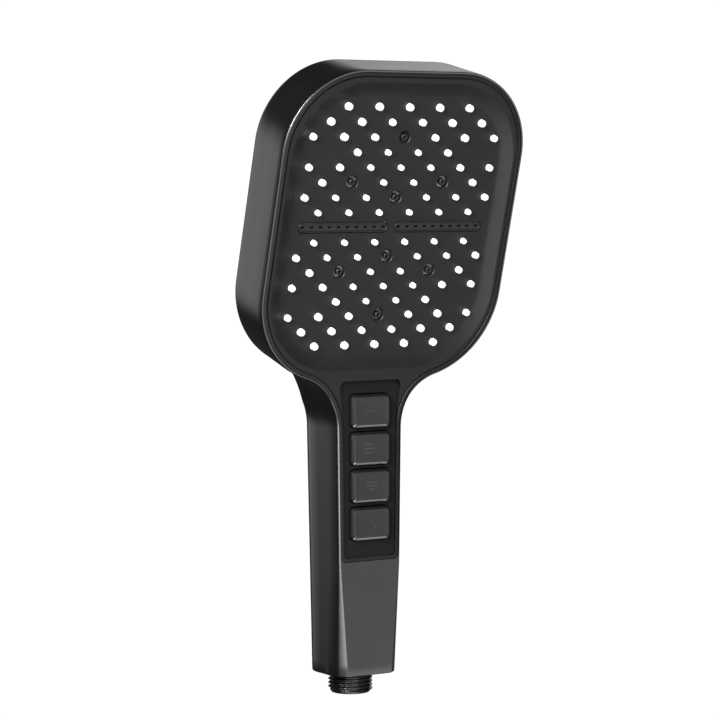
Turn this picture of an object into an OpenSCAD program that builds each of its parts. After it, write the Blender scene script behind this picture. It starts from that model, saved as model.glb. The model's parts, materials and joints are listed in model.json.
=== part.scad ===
// Handheld shower head: square tilted spray head, handle with four spray keys, G1/2 inlet.
// Origin on the inlet thread's axis at the handle's bottom face. +Z runs up the handle,
// the spray face looks along -Y. Depth d is measured back from the front surface,
// height s along the front surface from the bend between handle and head.

/* [Head] */
// Width of the head at its rim
head_w = 131.2; // [110:0.2:158]
// Height of the head at its rim, in its own plane
head_h = 147.6; // [124:0.2:176]
// Thickness of the head from rim to back
head_depth = 29.8; // [27:0.1:36]
// Radius of the rim's lower corners
head_corner_r = 42.5; // [36:0.5:50]
// Radius of the rim's upper corners
head_corner_top_r = 39.5; // [34:0.5:50]
// How much narrower each side is at the back than at the rim
head_draft = 1.4; // [0:0.1:4]
// Radius of the edge between side wall and back
head_back_r = 5; // [3:0.5:6]
// Forward tilt of the head from the handle, degrees
head_tilt = 15.2; // [12:0.1:18]

/* [Neck] */
// Height of the head's lowest rim point above the bend
neck_rise = 4.5; // [3:0.5:6]
// Radius of the hollow curve between head and handle
neck_r = 25.6; // [22:0.1:31]
// Half the length of front surface over which the bend is spread
bend_half = 6; // [5:0.5:7]

/* [Handle] */
// Length from the bottom face to the bend
handle_len = 134; // [111:0.5:162]
// Width at the bottom
handle_w_bottom = 33; // [30:0.1:36]
// Width where the neck begins
handle_w_top = 36; // [34:0.1:43]
// Depth at the bottom
handle_depth_bottom = 32.5; // [31:0.1:39]
// Depth at the top
handle_depth_top = 35; // [33:0.1:42]
// Distance of the thread's axis behind the front face
axis_back = 17; // [16:0.1:18]
// Radius of the handle's back edges
handle_back_r = 11; // [8:0.5:13]
// Rounding of the shell's front edge
front_edge_r = 0.8; // [0.3:0.1:0.9]

/* [Shell] */
// Wall thickness
wall = 1.9; // [1.6:0.1:2.2]
// Thickness of the handle's bottom wall
bottom_wall = 3; // [2.5:0.1:3.6]
// Width of the shell's edge left showing round the face plate
rim_edge = 1; // [0.8:0.1:1.2]
// Clearance between pieces that sit in one another
seat_gap = 0.1; // [0.05:0.01:0.15]

/* [Face plate] */
// Thickness of the border
plate_t = 2.6; // [2.2:0.1:3]
// Depth of the dish below the border
dish_depth = 2.6; // [2.2:0.1:3.1]
// Thickness of the dish floor
floor_t = 2; // [1.7:0.1:2.4]
// Distance from the head's sides to the top of the dish wall
dish_border = 4.9; // [4:0.1:6]
// Distance from the head's top to the top of the dish wall
dish_border_top = 5.8; // [5:0.1:7]
// Width of the sloping dish wall
dish_slope = 6.6; // [5.5:0.1:7.9]

/* [Nozzles] */
// Distance from the dish floor's sides to the outermost nozzles
nozzle_margin = 4.7; // [4:0.1:5.8]
// Distance from the dish floor's top and bottom to the outermost nozzles
nozzle_margin_end = 5; // [4:0.1:5.8]
// Radius of the outer nozzles' tips
tip_r_large = 1.75; // [1.5:0.05:2]
// Radius of the middle nozzles' tips
tip_r_medium = 1.6; // [1.4:0.05:1.8]
// Radius of the inner nozzles' tips
tip_r_small = 1.35; // [1.2:0.05:1.6]
// How far the tips stand out of the dish floor
tip_proud = 2; // [1.6:0.05:2.2]
// Radius of the water hole in a tip
tip_hole_r = 0.5; // [0.4:0.05:0.6]
// Thickness of the silicone mat
mat_t = 1.5; // [1.2:0.1:1.8]
// Radius of a jet insert
jet_r = 3.3; // [2.8:0.1:3.6]
// Length of a blade insert
blade_len = 48.8; // [40:0.1:49]
// Width of a blade insert
blade_w = 5.4; // [4.6:0.1:5.8]
// Gap between the two blade inserts
blade_gap = 3; // [2.4:0.1:3.6]
// Number of holes in a blade insert
blade_holes = 10; // [8:1:12]

/* [Keys] */
// Width of a key
key_w = 21.4; // [17.8:0.1:22]
// Height of a key
key_h = 15.2; // [12.6:0.1:15.6]
// Distance between key centres
key_pitch = 17.55; // [17.2:0.05:18.5]
// Distance of the first key's centre below the bend
key_drop = 9.4; // [9:0.1:10]
// How far a key stands out of the handle's front
key_proud = 2; // [1.7:0.1:2.4]
// How far a key travels
key_travel = 2.5; // [2.1:0.1:3]
// Gap round a key in its window
key_gap = 0.35; // [0.3:0.05:0.45]
// Height of the panel's top edge above the bend
panel_rise = 5; // [4.5:0.1:5.5]
// Distance of the panel's bottom edge below the bend
panel_drop = 79; // [77:0.5:84]
// How much the panel widens in the neck, each side
panel_flare = 1.9; // [0:0.1:2.3]
// How far the panel lies below the handle's front
panel_sunk = 0.6; // [0.5:0.1:0.8]
// Width of the frame between shell edge and panel
frame_w = 1.9; // [1.6:0.1:2.2]

/* [Valve] */
// Depth of the valve cover's front behind the handle's front
cover_depth = 8.4; // [8.2:0.1:8.6]
// Thickness of the valve cover
cover_t = 3.4; // [3.2:0.1:3.8]
// Height of the space that the latch plate slides in
latch_space = 1.6; // [1.4:0.1:1.9]
// Thickness of the latch plate
latch_t = 1; // [0.8:0.05:1.2]
// Travel of the latch plate
latch_travel = 1.2; // [1:0.1:1.4]
// Depth of the valve block, front to back
block_depth = 13.6; // [13:0.1:15]
// Width of the valve block
block_w = 23; // [22:0.5:24]
// Radius of a valve stem
stem_r = 2.45; // [2.2:0.05:2.9]
// Radial running clearance of a moving stem
run_gap = 0.05; // [0.03:0.01:0.08]
// Radius of a valve bore
bore_r = 3.5; // [3.4:0.05:3.6]

/* [Inlet] */
// Thread radius over the crests, G1/2
thread_r = 10.4775; // [10.4775]
// Thread radius at the roots, G1/2
thread_root_r = 9.3155; // [9.3155]
// Thread pitch, G1/2
thread_pitch = 1.814; // [1.814]
// Length of the nipple outside the handle
nipple_len = 10; // [9.6:0.1:12]
// Radius of the inlet at its mouth
inlet_r = 6.4; // [6:0.1:7]
// Outer radius of the water tube
tube_r = 8; // [7.8:0.1:8.2]
// Inner radius of the water tube
tube_bore_r = 6; // [5.5:0.1:6.1]

/* [Hidden] */
eps = 0.02;
$fn = 48;
front_y = -axis_back;
bend_rho = 2 * bend_half * 180 / (PI * head_tilt);
face_s = neck_rise + head_h / 2;
half_w = head_w / 2;
top_s = neck_rise + head_h;
dish_w = head_w - 2 * dish_border;
dish_h = head_h - 2 * dish_border_top;
dish_r = head_corner_r - dish_border;
floor_w = dish_w - 2 * dish_slope;
floor_h = dish_h - 2 * dish_slope;
floor_r = dish_r - dish_slope;
pitch_x = (floor_w - 2 * nozzle_margin) / 6;
pitch_s = (floor_h - 2 * nozzle_margin_end) / 16;
mat_d = dish_depth + floor_t;
port_d = mat_d + mat_t;
port_t = 2;
manifold_h = 5.6;
cap_t = 2.2;
cap_d = head_depth - wall - seat_gap - manifold_h - cap_t - 0.8;
seal_t = 1;
seal_d = cap_d - seal_t;
key_z = [for (i = [0:3]) handle_len - key_drop - key_pitch * i];
key_front = front_y - key_proud;
key_flange = 1;
key_flange_t = 1.2;
panel_front = front_y + panel_sunk;
panel_t = 2;
panel_lip_t = 1;
panel_back = panel_front + panel_t + panel_lip_t;
flange_front = panel_back + seat_gap;
flange_back = flange_front + key_flange_t;
cover_front = front_y + cover_depth;
cover_back = cover_front + cover_t;
block_front = cover_back + latch_space;
block_back = block_front + block_depth;
latch_half = 4.9;
latch_low = key_z[3] - stem_r - latch_travel - 2.8;
latch_high = key_z[0] + stem_r + 1.6;
latch_spring_len = 3.4;
window_low = latch_low - latch_spring_len;
window_high = latch_high + latch_travel + 0.3;
cover_top = window_high + 1.5;
cover_bottom = window_low - 1.5;
screw_r = 1.1;
screw_head_r = 1.9;
block_screw_x = 7;
block_screw_z = cover_top + screw_head_r + 0.9;
duct_low = block_screw_z + screw_r + 0.8;
block_top = duct_low + 5;
block_bottom = cover_bottom - 6;
spring_pocket = 1.9;
spring_r = 3.7;
spring_wire_r = 0.25;
duct_x = [-9, -3, 3, 9];
duct_y = block_front + 7.4;
duct_r = 2.4;
duct_bore_r = 1.6;

// ---- Front surface and its outline ----

// A point at x, height s along the front surface and depth d behind it.
function bent(x, s, d) =
    let (u = min(max(s + bend_half, 0), 2 * bend_half),
         a = head_tilt * u / (2 * bend_half),
         below = min(s + bend_half, 0),
         above = max(s - bend_half, 0))
    [x,
     front_y - bend_rho * (1 - cos(a)) - above * sin(a) + d * cos(a),
     handle_len - bend_half + bend_rho * sin(a) + below + above * cos(a) + d * sin(a)];

neck_x = handle_w_top / 2 + neck_r;
corner_x = half_w - head_corner_r;
corner_low = neck_rise + head_corner_r;
corner_high = top_s - head_corner_top_r;
corner_high_x = half_w - head_corner_top_r;
neck_s = corner_low - sqrt(pow(head_corner_r + neck_r, 2) - pow(neck_x - corner_x, 2));
neck_turn = acos((neck_x - corner_x) / (head_corner_r + neck_r));

// Half width of the handle at height s.
function handle_half(s) =
    handle_w_bottom / 2
    + (handle_w_top - handle_w_bottom) / 2 * (s + handle_len) / (neck_s + handle_len);

// Right half of the outline from the bottom edge to the top edge: [x, s, normal x, normal s].
// It starts at height s0, with lower corners of radius rc (0 leaves the bottom edge flat).
function outline(s0, rc) = concat(
    rc > 0
        ? [for (a = [-90:22.5:0]) [handle_half(s0) - rc + rc * cos(a), s0 + rc + rc * sin(a), cos(a), sin(a)]]
        : [[handle_half(s0), s0, 1, 0]],
    [for (k = [1:4]) let (s = s0 + rc + (neck_s - s0 - rc) * k / 5) [handle_half(s), s, 1, 0]],
    [for (k = [0:9]) let (a = neck_turn * k / 9)
        [neck_x - neck_r * cos(a), neck_s + neck_r * sin(a), cos(a), -sin(a)]],
    [for (k = [1:10]) let (a = -neck_turn * (1 - k / 10))
        [corner_x + head_corner_r * cos(a), corner_low + head_corner_r * sin(a), cos(a), sin(a)]],
    [for (k = [0:12]) let (a = 90 * k / 12)
        [corner_high_x + head_corner_top_r * cos(a), corner_high + head_corner_top_r * sin(a),
         cos(a), sin(a)]]);

function smooth(t) = let (c = min(max(t, 0), 1)) c * c * (3 - 2 * c);
// 0 on the handle, 1 on the head
function head_share(s) = smooth((s + 22) / 50);
function depth_at(s) =
    let (m = head_share(s), h = min(max(s + handle_len, 0) / handle_len, 1))
    head_depth * m
    + (handle_depth_bottom + (handle_depth_top - handle_depth_bottom) * h) * (1 - m);
function back_r_at(s) = let (m = head_share(s)) head_back_r * m + handle_back_r * (1 - m);

// Inset and depth of the back corner of a skin that lies e inside the shell, at turn a.
function back_corner(s, e, a) =
    let (depth = depth_at(s), r = max(back_r_at(s) - e, 1),
         lean = head_draft * head_share(s) * (depth - r) / depth)
    [e + lean + r * (1 - cos(a)), depth - e - r + r * sin(a)];

// Closed solid through rings of [inset, depth] pairs, one list of pairs per outline point.
module loft(line, rings) {
    m = len(line);
    n = 2 * m;
    levels = len(rings);
    function place(j, k, side) =
        let (p = line[j], q = rings[k][j])
        bent(side * (p[0] - p[2] * q[0]), p[1] - p[3] * q[0], q[1]);
    points = [for (k = [0:levels - 1]) each concat(
        [for (j = [0:m - 1]) place(j, k, 1)],
        [for (j = [m - 1:-1:0]) place(j, k, -1)])];
    sides = [for (k = [0:levels - 2], i = [0:n - 1])
        let (a = k * n + i, b = k * n + (i + 1) % n)
        each [[b, b + n, a], [b + n, a + n, a]]];
    function cap(o) = [for (j = [0:m - 2]) let (a = o + j, b = o + n - 1 - j)
        each [[b, a + 1, a], [b, b - 1, a + 1]]];
    last = [for (f = cap((levels - 1) * n)) [f[2], f[1], f[0]]];
    polyhedron(points = points, faces = concat(sides, cap(0), last));
}

// Slab that follows the front surface: inset e, from depth d0 to d1.
module slab(e, d0, d1, s0, rc) {
    line = outline(s0, rc);
    loft(line, [[for (p = line) [e, d0]], [for (p = line) [e, d1]]]);
}

// ---- Placing helpers ----

// Head coordinates: x, depth along +Y, height s along +Z.
module in_head() {
    a = bent(0, bend_half, 0);
    translate(a) rotate([head_tilt, 0, 0]) translate([0, 0, -bend_half]) children();
}

// A flat outline drawn round the face's centre becomes a plate from depth d of thickness t.
module plate(d, t) {
    in_head() translate([0, d + t, face_s]) rotate([90, 0, 0]) linear_extrude(t) children();
}

module rounded(w, h, r) {
    square([w - 2 * r, h], center = true);
    square([w, h - 2 * r], center = true);
    for (sx = [-1, 1], sy = [-1, 1]) translate([sx * (w / 2 - r), sy * (h / 2 - r)]) circle(r, $fn = 96);
}

// Cylinder along +Y from y0 to y1, and a plate of the same kind.
module along_y(r, y0, y1) {
    translate([0, y1, 0]) rotate([90, 0, 0]) cylinder(h = y1 - y0, r = r);
}
module y_plate(y0, y1) {
    translate([0, y1, 0]) rotate([90, 0, 0]) linear_extrude(y1 - y0) children();
}
module o_ring(r, wire) {
    rotate_extrude() translate([r, 0]) circle(wire, $fn = 16);
}

// ---- Nozzle pattern ----

// One row of the upper half: places in half pitches, with tip sizes 0 large, 1 medium, 2 small.
rows = [
    [8, [[0, 0], [1, 0], [2, 0]]],
    [7, [[0.5, 1], [1.5, 0], [2.5, 0]]],
    [6, [[1, 1], [2, 0], [3, 1]]],
    [5, [[0.5, 2], [1.5, 1]]],
    [4, [[0, 2], [1, 2], [2, 1], [3, 1]]],
    [3, [[0.5, 2], [2.5, 1]]],
    [2, [[1, 2], [2, 2], [3, 1]]],
    [1, [[0.5, 2], [1.5, 2], [2.5, 2]]]];
tips = [for (row = rows, t = row[1], side = (t[0] == 0 ? [1] : [-1, 1]), up = [-1, 1])
    [side * t[0] * pitch_x, up * row[0] * pitch_s, t[1]]];
jets = [for (up = [-1, 1]) each [
    [0, up * 6 * pitch_s], [0, up * 2 * pitch_s],
    [-1.5 * pitch_x, up * 3 * pitch_s], [1.5 * pitch_x, up * 3 * pitch_s]]];
tip_radii = [tip_r_large, tip_r_medium, tip_r_small];
blade_x = (blade_len + blade_gap) / 2;

module at_face(p) {
    in_head() translate([p[0], 0, face_s + p[1]]) children();
}

module stadium(l, w) {
    square([l - w, w], center = true);
    for (side = [-1, 1]) translate([side * (l - w) / 2, 0]) circle(w / 2);
}

// ---- Shell and front ----

module shell_skin(e, front) {
    line = outline(-handle_len + (e > 0 ? bottom_wall : 0), 0);
    edge = e > 0
        ? [[for (p = line) [e, front]]]
        : [for (a = [0, 45, 90]) [for (p = line) [front_edge_r * (1 - sin(a)), front_edge_r * (1 - cos(a))]]];
    loft(line, concat(edge, [for (a = [0:22.5:90]) [for (p = line) back_corner(p[1], e, a)]]));
}

module rear_shell() {
    opening_s = -panel_drop - frame_w;
    boss_len = 4;
    color("#1b1b1d") {
        difference() {
            shell_skin(0, 0);
            shell_skin(wall, wall);
            slab(rim_edge, -2, plate_t, opening_s, 4);
            slab(wall, -2, plate_t + wall, opening_s + rim_edge - wall, 3);
            translate([0, 0, -1]) cylinder(h = bottom_wall + 2, r = thread_r - 0.2);
        }
        for (side = [-1, 1]) difference() {
            translate([side * block_screw_x, 0, block_screw_z])
                along_y(3, block_back + seat_gap, front_y + depth_at(0) - wall / 2);
            translate([side * block_screw_x, 0, block_screw_z]) along_y(screw_r, 0, block_back + boss_len);
        }
    }
}

// The panel's sides run parallel to the handle's, then open a little into the neck.
module panel_outline(grow) {
    top = handle_len + panel_rise + grow;
    bottom = handle_len - panel_drop - grow;
    half_mid = handle_half(neck_s) - rim_edge - frame_w + grow;
    half_low = handle_half(-panel_drop) - rim_edge - frame_w + grow;
    r = 3;
    hull() for (side = [-1, 1]) {
        translate([side * (half_mid - 0.5), handle_len + neck_s]) circle(0.5);
        translate([side * (half_low - r), bottom + r]) circle(r);
    }
    hull() for (side = [-1, 1]) {
        translate([side * (half_mid + panel_flare - r), top - r]) circle(r);
        translate([side * (half_mid - 0.5), handle_len + neck_s]) circle(0.5);
    }
}

module face_plate() {
    lap = 2;
    color("#2b2b2d") difference() {
        union() {
            slab(rim_edge + seat_gap, 0, plate_t - seat_gap, -panel_drop - frame_w + seat_gap, 4);
            hull() {
                plate(plate_t - 1, 1) rounded(dish_w + 2 * lap, dish_h + 2 * lap, dish_r + lap);
                plate(dish_depth, floor_t) rounded(floor_w + 2 * lap, floor_h + 2 * lap, floor_r + lap);
            }
        }
        hull() {
            plate(-eps, eps) rounded(dish_w, dish_h, dish_r);
            plate(dish_depth - eps, eps) rounded(floor_w, floor_h, floor_r);
        }
        y_plate(front_y - 6, front_y + 6) panel_outline(seat_gap);
        for (t = tips) at_face(t) along_y(tip_radii[t[2]] + run_gap, 0, mat_d + 1);
        for (j = jets) at_face(j) along_y(jet_r + seat_gap, 0, mat_d + 1);
        for (side = [-1, 1])
            plate(0, mat_d + 1) translate([side * blade_x, 0])
                stadium(blade_len + 2 * seat_gap, blade_w + 2 * seat_gap);
    }
}

module button_panel() {
    color("#262628") difference() {
        union() {
            y_plate(panel_front, panel_front + panel_t) panel_outline(0);
            y_plate(panel_front + panel_t, panel_back) panel_outline(frame_w - wall + rim_edge - 0.25);
        }
        for (z = key_z) translate([0, 0, z]) y_plate(panel_front - 1, panel_back + 1)
            rounded(key_w + 2 * key_gap, key_h + 2 * key_gap, 2.2 + key_gap);
    }
}

// ---- Keys and valve ----

module key(i) {
    socket = 3;
    color("#454547") translate([0, 0, key_z[i]]) difference() {
        union() {
            y_plate(key_front, flange_front) rounded(key_w, key_h, 2.2);
            y_plate(flange_front, flange_back)
                rounded(key_w + 2 * key_flange, key_h + 2 * key_flange, 2.2);
        }
        along_y(stem_r - 0.4, flange_back - socket, flange_back + 1);
    }
}

// Start of each sealing land, and the groove in its middle.
land_y = [block_front + 1, block_front + 7];
land_len = 2;
groove_len = 1.1;
seal_wire = 0.5;

module valve_stem(i) {
    socket = 3;
    groove_at = cover_front + spring_pocket - key_travel + 0.3;
    color("#c9c9c4") translate([0, 0, key_z[i]]) difference() {
        union() {
            along_y(stem_r - 0.4, flange_back - socket, flange_back);
            along_y(stem_r, flange_back, land_y[1] + land_len);
            for (y = land_y) along_y(bore_r - run_gap, y, y + land_len);
        }
        for (y = land_y) difference() {
            along_y(bore_r + 1, y + (land_len - groove_len) / 2, y + (land_len + groove_len) / 2);
            along_y(bore_r - run_gap - 2 * seal_wire, y, y + land_len);
        }
        difference() {
            along_y(stem_r + 1, groove_at, groove_at + latch_t + 0.3);
            along_y(stem_r - 0.5, groove_at - 1, groove_at + 3);
        }
    }
}

module stem_seals(i) {
    color("#151515") for (y = land_y)
        translate([0, y + land_len / 2, key_z[i]]) rotate([90, 0, 0])
            o_ring(bore_r - run_gap - seal_wire - 0.02, seal_wire - 0.02);
}

// Compression spring from 0 to h along +Z: a helix of radius r swept with a six-sided wire.
module coil(r, wire, h, turns) {
    steps = 12;
    n = steps * turns;
    sides = 6;
    rise = (h - 2 * wire) / n;
    points = [for (k = [0:n], j = [0:sides - 1])
        let (a = 360 * k / steps, b = 360 * j / sides)
        [(r + wire * cos(b)) * cos(a), (r + wire * cos(b)) * sin(a), wire + k * rise + wire * sin(b)]];
    faces = concat(
        [for (k = [0:n - 1], j = [0:sides - 1])
            let (a = k * sides + j, b = k * sides + (j + 1) % sides)
            each [[a, b, b + sides], [a, b + sides, a + sides]]],
        [[for (j = [sides - 1:-1:0]) j], [for (j = [0:sides - 1]) n * sides + j]]);
    polyhedron(points = points, faces = [for (f = faces) [for (i = [len(f) - 1:-1:0]) f[i]]]);
}

module return_spring(i) {
    y0 = flange_back + eps;
    y1 = cover_front + spring_pocket - eps;
    color("#b8babd") translate([0, y1, key_z[i]]) rotate([90, 0, 0])
        coil(spring_r, spring_wire_r, y1 - y0, 4);
}

module cover_outline() {
    translate([0, (cover_top + cover_bottom) / 2]) rounded(block_w, cover_top - cover_bottom, 2);
}

// Places of the cover screws, between the keys.
cover_screws = [for (side = [-1, 1], k = [0:2])
    [side * (block_w / 2 - 2.6), (key_z[k] + key_z[k + 1]) / 2]];

module valve_cover() {
    color("#3a3a3c") difference() {
        y_plate(cover_front, cover_back) cover_outline();
        for (z = key_z) translate([0, 0, z]) {
            along_y(stem_r + run_gap, cover_front - 1, cover_back + 1);
            along_y(spring_r + spring_wire_r + 0.3, cover_front - 1, cover_front + spring_pocket);
        }
        for (p = cover_screws) translate([p[0], 0, p[1]]) {
            along_y(screw_r + 0.1, cover_front - 1, cover_back + 1);
            along_y(screw_head_r + 0.1, cover_front - 1, cover_front + 1.3);
        }
    }
}

module valve_gasket() {
    color("#202020") difference() {
        y_plate(cover_back, block_front) cover_outline();
        y_plate(cover_back - 1, block_front + 1)
            translate([0, (window_low + window_high) / 2])
                square([2 * latch_half + 0.4, window_high - window_low], center = true);
        for (p = cover_screws) translate([p[0], 0, p[1]])
            along_y(screw_r + 0.1, cover_back - 1, block_front + 1);
    }
}

module latch_plate() {
    y0 = cover_back + (latch_space - latch_t) / 2;
    color("#9a9c9f") difference() {
        y_plate(y0, y0 + latch_t) translate([0, (latch_low + latch_high) / 2])
            square([2 * latch_half, latch_high - latch_low], center = true);
        for (z = key_z) y_plate(y0 - 1, y0 + latch_t + 1) translate([0, z - latch_travel / 2])
            rotate(90) stadium(2 * stem_r + 0.3 + latch_travel + 0.4, 2 * stem_r + 0.3);
    }
}

module latch_spring() {
    y = cover_back + latch_space / 2;
    color("#b8babd") translate([0, y, window_low + eps])
        coil(0.45, 0.12, latch_spring_len - 2 * eps, 6);
}

module valve_screws() {
    grip = 5;
    color("#a8aaad") for (p = cover_screws) translate([p[0], 0, p[1]]) {
        difference() {
            along_y(screw_head_r, cover_front + 0.1, cover_front + 1.3);
            along_y(0.8, cover_front, cover_front + 0.8);
        }
        along_y(screw_r, cover_front + 1.3, block_front + grip);
    }
}

module block_screws() {
    grip = 3.6;
    color("#a8aaad") for (side = [-1, 1]) translate([side * block_screw_x, 0, block_screw_z]) {
        difference() {
            along_y(screw_head_r + 0.4, block_front - 1.6, block_front);
            along_y(0.9, block_front - 2, block_front - 0.8);
        }
        along_y(screw_r, block_front, block_back + grip);
    }
}

tube_top = block_bottom + 2;
socket_r = tube_r + 1.6;

module valve_block() {
    color("#d8d8d2") difference() {
        union() {
            y_plate(block_front, block_back) translate([0, (block_top + block_bottom) / 2])
                rounded(block_w, block_top - block_bottom, 2);
            translate([0, 0, block_bottom - 10]) cylinder(h = 13, r = socket_r);
        }
        for (z = key_z) translate([0, 0, z]) along_y(bore_r, block_front - 1, block_front + 12);
        translate([0, 0, block_bottom - 11]) cylinder(h = tube_top - block_bottom + 11, r = tube_r + run_gap);
        translate([0, duct_y, tube_top - 1]) cylinder(h = key_z[0] - tube_top + 1, r = 2);
        for (x = duct_x) translate([x, duct_y, duct_low]) cylinder(h = 7, r = duct_r + run_gap);
        for (p = cover_screws) translate([p[0], 0, p[1]]) along_y(screw_r, block_front - 1, block_front + 5.2);
        for (side = [-1, 1]) translate([side * block_screw_x, 0, block_screw_z])
            along_y(screw_r + 0.1, block_front - 1, block_back + 1);
    }
}

// ---- Waterway ----

duct_high = bent(0, neck_rise + 8, cap_d + cap_t)[2] + 4;
duct_rings = [duct_low + 2, duct_high - 2];

module feed_duct() {
    web_h = 3;
    color("#cfcfc9") difference() {
        union() {
            for (x = duct_x) translate([x, duct_y, duct_low]) cylinder(h = duct_high - duct_low, r = duct_r);
            translate([0, duct_y, block_top + 2 + web_h / 2])
                cube([duct_x[3] - duct_x[0], 1.6, web_h], center = true);
        }
        for (x = duct_x) {
            translate([x, duct_y, duct_low - 1]) cylinder(h = duct_high - duct_low + 2, r = duct_bore_r);
            for (z = duct_rings) translate([x, duct_y, z]) difference() {
                translate([0, 0, -0.5]) cylinder(h = 1, r = duct_r + 1);
                translate([0, 0, -1]) cylinder(h = 2, r = duct_r - 0.5);
            }
        }
    }
}

module duct_seals() {
    color("#151515") for (x = duct_x, z = duct_rings)
        translate([x, duct_y, z]) o_ring(duct_r - 0.25, 0.23);
}

module nozzle_mat() {
    color("#f4f4f2") difference() {
        union() {
            plate(mat_d, mat_t) rounded(floor_w, floor_h, floor_r);
            for (t = tips) at_face(t) along_y(tip_radii[t[2]], dish_depth - tip_proud, mat_d);
        }
        for (t = tips) at_face(t) along_y(tip_hole_r, 0, port_d + 1);
        for (j = jets) at_face(j) along_y(jet_r + seat_gap, mat_d - 1, port_d + 1);
        for (side = [-1, 1])
            plate(mat_d - 1, mat_t + 2) translate([side * blade_x, 0])
                stadium(blade_len + 2 * seat_gap, blade_w + 2 * seat_gap);
    }
}

module jet_nozzles() {
    recess = 1.6;
    boss_r = 1.7;
    hole_r = 0.9;
    color("#161617") for (j = jets) at_face(j) difference() {
        along_y(jet_r, dish_depth - 0.1, port_d);
        difference() {
            along_y(jet_r - 0.5, dish_depth - 1, dish_depth + recess);
            along_y(boss_r, dish_depth, dish_depth + recess + 1);
        }
        along_y(hole_r, dish_depth - 1, port_d + 1);
    }
}

module blade_insert(side) {
    recess = 0.8;
    hole_r = 0.7;
    step = (blade_len - blade_w) / (blade_holes - 1);
    color("#1c1c1e") difference() {
        plate(dish_depth, port_d - dish_depth) translate([side * blade_x, 0]) stadium(blade_len, blade_w);
        plate(dish_depth - 1, recess + 1) translate([side * blade_x, 0]) stadium(blade_len - 1.2, blade_w - 1.2);
        for (k = [0:blade_holes - 1])
            at_face([side * blade_x + (k - (blade_holes - 1) / 2) * step, 0])
                along_y(hole_r, dish_depth, port_d + 1);
    }
}

// Screws that close the water chamber, clear of every nozzle.
chamber_holes = [for (sx = [-1, 1], sy = [-1, 1]) each [
    [sx * (floor_w / 2 - 3.6), sy * 3 * pitch_s], [sx * 1.5 * pitch_x, sy * (floor_h / 2 - 3.6)]]];

module distributor_plate() {
    wall_t = 1.6;
    zone_w = 4.25 * pitch_x;
    zone_h = 10 * pitch_s;
    color("#dcdcd6") difference() {
        union() {
            plate(port_d, port_t) rounded(floor_w, floor_h, floor_r);
            plate(port_d + port_t, seal_d - port_d - port_t) difference() {
                rounded(floor_w, floor_h, floor_r);
                rounded(floor_w - 2 * wall_t, floor_h - 2 * wall_t, floor_r - wall_t);
            }
            plate(port_d + port_t, seal_d - port_d - port_t) difference() {
                rounded(zone_w, zone_h, 10);
                rounded(zone_w - 2 * wall_t, zone_h - 2 * wall_t, 10 - wall_t);
            }
            for (p = chamber_holes) at_face(p) along_y(2.8, port_d + port_t, seal_d);
        }
        for (t = tips) at_face(t) along_y(0.9, port_d - 1, port_d + port_t + 1);
        for (j = jets) at_face(j) along_y(1.2, port_d - 1, port_d + port_t + 1);
        for (side = [-1, 1])
            plate(port_d - 1, port_t + 2) translate([side * blade_x, 0]) stadium(blade_len - 6, 1.8);
        for (p = chamber_holes) at_face(p) along_y(screw_r, seal_d - 7, seal_d + 1);
    }
}

module chamber_gasket() {
    band = 6.6;
    color("#202020") difference() {
        plate(seal_d, seal_t) rounded(floor_w, floor_h, floor_r);
        plate(seal_d - 1, seal_t + 2)
            rounded(floor_w - 2 * band, floor_h - 2 * band, floor_r - band);
        for (p = chamber_holes) at_face(p) along_y(screw_r + 0.1, seal_d - 1, seal_d + seal_t + 1);
    }
}

module chamber_back() {
    box_w = 28;
    box_low = neck_rise + 7;
    box_h = 22;
    color("#dcdcd6") difference() {
        union() {
            plate(cap_d, cap_t) rounded(floor_w, floor_h, floor_r);
            in_head() translate([-box_w / 2, cap_d + cap_t - eps, box_low]) cube([box_w, manifold_h, box_h]);
        }
        for (p = chamber_holes) at_face(p) along_y(screw_r + 0.1, cap_d - 1, cap_d + cap_t + 1);
        for (x = duct_x) {
            translate([x, duct_y, duct_high - 12]) cylinder(h = 12, r = duct_r + run_gap);
            translate([x, duct_y, duct_high - 1]) cylinder(h = 4, r = duct_bore_r);
            in_head() translate([x, 0, box_low + 15]) along_y(1.4, cap_d - 1, cap_d + cap_t + 2.6);
            in_head() translate([x, cap_d + cap_t + 2.6, box_low + 3]) cylinder(h = 13.4, r = 1.4);
        }
    }
}

module chamber_screws() {
    color("#a8aaad") for (p = chamber_holes) at_face(p) {
        difference() {
            along_y(screw_head_r, cap_d + cap_t, cap_d + cap_t + 1.5);
            along_y(0.8, cap_d + cap_t + 0.8, cap_d + cap_t + 2);
        }
        along_y(screw_r, seal_d - 6.5, cap_d + cap_t);
    }
}

nipple_top = bottom_wall + 13;
nipple_socket_z = bottom_wall + 2;
tube_bottom = nipple_socket_z + 0.2;
tube_ring_z = [tube_bottom + 4, tube_top - 4];
tube_ring_r = 0.46;

module water_tube() {
    color("#cfcfc9") difference() {
        translate([0, 0, tube_bottom]) cylinder(h = tube_top - tube_bottom, r = tube_r);
        translate([0, 0, tube_bottom - 1]) cylinder(h = tube_top - tube_bottom + 2, r = tube_bore_r);
        for (z = tube_ring_z) translate([0, 0, z]) difference() {
            translate([0, 0, -0.6]) cylinder(h = 1.2, r = tube_r + 1);
            translate([0, 0, -1]) cylinder(h = 2, r = tube_r - 0.95);
        }
    }
}

module tube_seals() {
    color("#151515") for (z = tube_ring_z) translate([0, 0, z]) o_ring(tube_r - 0.47, tube_ring_r);
}

seat_z = -nipple_len + 4;
seat_r = inlet_r - 0.4;
stop_r = seat_r - 1;

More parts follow.
